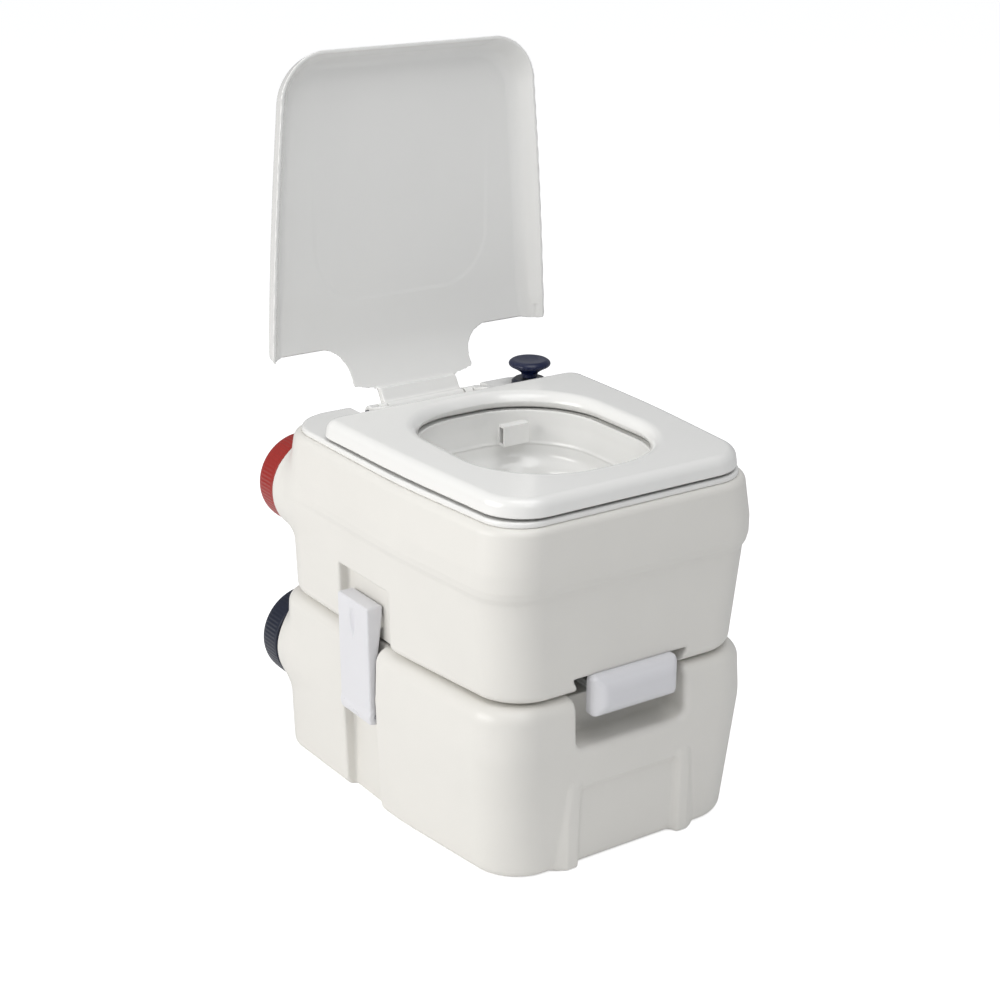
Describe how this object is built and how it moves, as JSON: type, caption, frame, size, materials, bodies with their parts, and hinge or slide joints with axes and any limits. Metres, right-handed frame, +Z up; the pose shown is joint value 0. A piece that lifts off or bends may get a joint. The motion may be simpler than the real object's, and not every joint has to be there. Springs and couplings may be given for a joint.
{
  "type": "portable camp toilet",
  "caption": "Portable camp toilet: a flush-water tank with bowl, hinged seat and lid and a pull-up pump, latched on a waste tank with a slide valve and screw caps at the back.",
  "frame": {"origin": "centre of the flat underside of the waste tank, on the floor", "axes": "+Z up; +X to the right of a person facing the front; -Y out of the front, the side with the pull handle"},
  "size_m": [0.356, 0.4566, 0.758],
  "materials": {
    "tank_plastic": "satin blow-moulded polyethylene, warm white",
    "seat_plastic": "glossy moulded plastic, white",
    "latch_plastic": "satin moulded plastic, cool white",
    "valve_plastic": "satin moulded plastic, dark grey",
    "blade_plastic": "smooth moulded plastic, light grey",
    "red_plastic": "satin moulded plastic, brick red",
    "navy_plastic": "satin moulded plastic, very dark blue",
    "rubber_black": "matt black rubber",
    "steel": "bright steel",
    "pump_plastic": "smooth moulded plastic, pale grey",
    "hose_vinyl": "cloudy soft vinyl"
  },
  "bodies": {
    "waste_unit": {"waste_tank": "tank_plastic", "valve_body": "valve_plastic", "valve_blade_seal": "rubber_black", "valve_lip_seal": "rubber_black", "valve_clamp_ring": "valve_plastic", "valve_screws": "steel", "latch_pin_left": "steel", "latch_pin_right": "steel"},
    "valve_slide_unit": {"valve_blade": "blade_plastic", "valve_handle": "latch_plastic"},
    "left_latch": {"latch_left": "latch_plastic"},
    "right_latch": {"latch_right": "latch_plastic"},
    "waste_cap_ring": {"waste_cap_gasket": "rubber_black"},
    "waste_cap_top": {"waste_cap": "navy_plastic"},
    "flush_unit": {"flush_tank": "tank_plastic", "deck": "tank_plastic", "bowl": "seat_plastic", "hinge_post_left": "seat_plastic", "hinge_post_right": "seat_plastic", "hinge_pin_left": "navy_plastic", "hinge_pin_right": "navy_plastic", "hinge_post_screws": "steel", "pump_barrel": "pump_plastic", "pump_collar": "navy_plastic", "pump_foot_valve": "rubber_black", "pump_strainer": "pump_plastic", "flush_hose": "hose_vinyl", "flush_nozzle": "pump_plastic"},
    "seat_unit": {"seat": "seat_plastic"},
    "lid_unit": {"lid": "seat_plastic"},
    "pump_plunger": {"pump_knob": "navy_plastic", "pump_rod": "pump_plastic", "pump_piston": "pump_plastic", "piston_ring": "rubber_black"},
    "fill_cap_ring": {"fill_cap_gasket": "rubber_black"},
    "fill_cap_top": {"fill_cap": "red_plastic"}
  },
  "joints": [
    {"name": "valve_slide", "type": "slide", "parent": "waste_unit", "child": "valve_slide_unit", "axis": [0, -1, 0], "range_m": [0, 0.095]},
    {"name": "top_unit_lift", "type": "slide", "parent": "waste_unit", "child": "flush_unit", "axis": [0, 0, 1], "range_m": [0, 0.06]},
    {"name": "latch_left_turn", "type": "hinge", "parent": "waste_unit", "child": "left_latch", "pos_m": [-0.168, 0.0355, 0.108], "axis": [0, -1, 0], "range_deg": [0, 45]},
    {"name": "latch_right_turn", "type": "hinge", "parent": "waste_unit", "child": "right_latch", "pos_m": [0.168, 0.0355, 0.108], "axis": [0, 1, 0], "range_deg": [0, 45]},
    {"name": "waste_cap_out", "type": "slide", "parent": "waste_unit", "child": "waste_cap_ring", "axis": [0, 1, 0], "range_m": [0, 0.0205]},
    {"name": "waste_cap_turn", "type": "hinge", "parent": "waste_cap_ring", "child": "waste_cap_top", "pos_m": [-0.124, 0.22, 0.112], "axis": [0, 1, 0], "range_deg": [0, 900]},
    {"name": "fill_cap_out", "type": "slide", "parent": "flush_unit", "child": "fill_cap_ring", "axis": [0, 1, 0], "range_m": [0, 0.0205]},
    {"name": "fill_cap_turn", "type": "hinge", "parent": "fill_cap_ring", "child": "fill_cap_top", "pos_m": [-0.124, 0.22, 0.295], "axis": [0, 1, 0], "range_deg": [0, 900]},
    {"name": "lid_hinge", "type": "hinge", "parent": "flush_unit", "child": "lid_unit", "pos_m": [0, 0.176, 0.374], "axis": [-1, 0, 0], "range_deg": [-90, 0]},
    {"name": "seat_hinge", "type": "hinge", "parent": "flush_unit", "child": "seat_unit", "pos_m": [0, 0.176, 0.374], "axis": [-1, 0, 0], "range_deg": [0, 88]},
    {"name": "pump_stroke", "type": "slide", "parent": "flush_unit", "child": "pump_plunger", "axis": [0, 0, 1], "range_m": [0, 0.04]}
  ],
  "couplings": [
    {"joint": "latch_left_turn", "follows": "top_unit_lift", "rad_per_m": 13.08},
    {"joint": "latch_right_turn", "follows": "top_unit_lift", "rad_per_m": 13.08},
    {"joint": "waste_cap_out", "follows": "waste_cap_turn", "m_per_rad": 0.001273},
    {"joint": "fill_cap_out", "follows": "fill_cap_turn", "m_per_rad": 0.001273}
  ]
}
